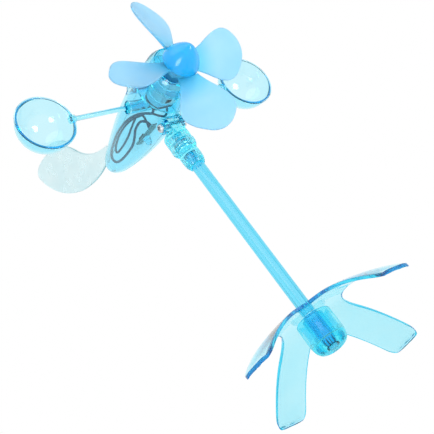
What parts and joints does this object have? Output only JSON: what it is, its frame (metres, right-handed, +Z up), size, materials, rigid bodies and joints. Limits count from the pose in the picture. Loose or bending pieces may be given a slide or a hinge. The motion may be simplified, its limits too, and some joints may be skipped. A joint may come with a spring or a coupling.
{
  "type": "toy wind turbine",
  "caption": "Clear blue plastic toy wind turbine: arched X stand, mast with swivel collar, tilting teardrop nacelle with bladed rotor, generator, wind cups on cross arms and a tail fin.",
  "frame": {"origin": "middle of the outline at the level of the feet", "axes": "+Z up along the mast, -Y towards the rotor's nose, +X towards the right wind cup as seen from behind the tail"},
  "size_m": [0.2074, 0.2524, 0.3154],
  "materials": {
    "clear_blue": "clear moulded plastic, tinted light blue, polished",
    "deep_blue": "translucent moulded plastic, deeper azure blue, polished",
    "frosted_blue": "pale blue translucent plastic, lightly frosted",
    "steel": "plain steel, lightly brushed",
    "ferrite": "dark sintered magnet",
    "brass": "brass and copper windings",
    "dark_plastic": "dark moulded plastic",
    "lead_sleeve": "dark insulated lead",
    "board": "blue-green circuit board"
  },
  "bodies": {
    "stand": {"stand_sheet": "clear_blue", "stand_socket": "deep_blue", "mast": "clear_blue", "swivel_base": "clear_blue", "bearing_ball": "steel"},
    "swivel": {"swivel_cap": "clear_blue", "retaining_ring": "steel"},
    "head": {"pod_left": "clear_blue", "pod_right": "clear_blue", "tilt_screw": "steel", "tilt_nut": "steel", "case_screw": "steel", "motor_can": "steel", "magnet_left": "ferrite", "magnet_right": "ferrite", "motor_end_cap": "dark_plastic", "terminal_left": "brass", "terminal_right": "brass", "lead_outer": "lead_sleeve", "lead_inner": "lead_sleeve", "lamp_board": "board", "lamp": "clear_blue", "arm_sleeve": "deep_blue", "tail_fin": "frosted_blue"},
    "rotor": {"rotor": "frosted_blue", "spinner": "deep_blue", "rotor_shaft": "steel", "armature": "brass"},
    "left_cup": {"arm_left": "clear_blue", "cup_left": "clear_blue"},
    "right_cup": {"arm_right": "clear_blue", "cup_right": "clear_blue"}
  },
  "joints": [
    {"name": "head_yaw", "type": "hinge", "parent": "stand", "child": "swivel", "pos_m": [0, -0.04262, 0.1808], "axis": [0, 0, 1], "continuous": true},
    {"name": "head_tilt", "type": "hinge", "parent": "swivel", "child": "head", "pos_m": [0, -0.04562, 0.1958], "axis": [1, 0, 0], "range_deg": [-25, 15]},
    {"name": "rotor_spin", "type": "hinge", "parent": "head", "child": "rotor", "pos_m": [0, -0.08886, 0.20983], "axis": [0, 0.989, 0.1478], "continuous": true},
    {"name": "left_cup_turn", "type": "hinge", "parent": "head", "child": "left_cup", "pos_m": [-0.05, -0.04262, 0.2218], "axis": [1, 0, 0], "continuous": true},
    {"name": "right_cup_turn", "type": "hinge", "parent": "head", "child": "right_cup", "pos_m": [0.05, -0.04262, 0.2218], "axis": [1, 0, 0], "continuous": true}
  ]
}
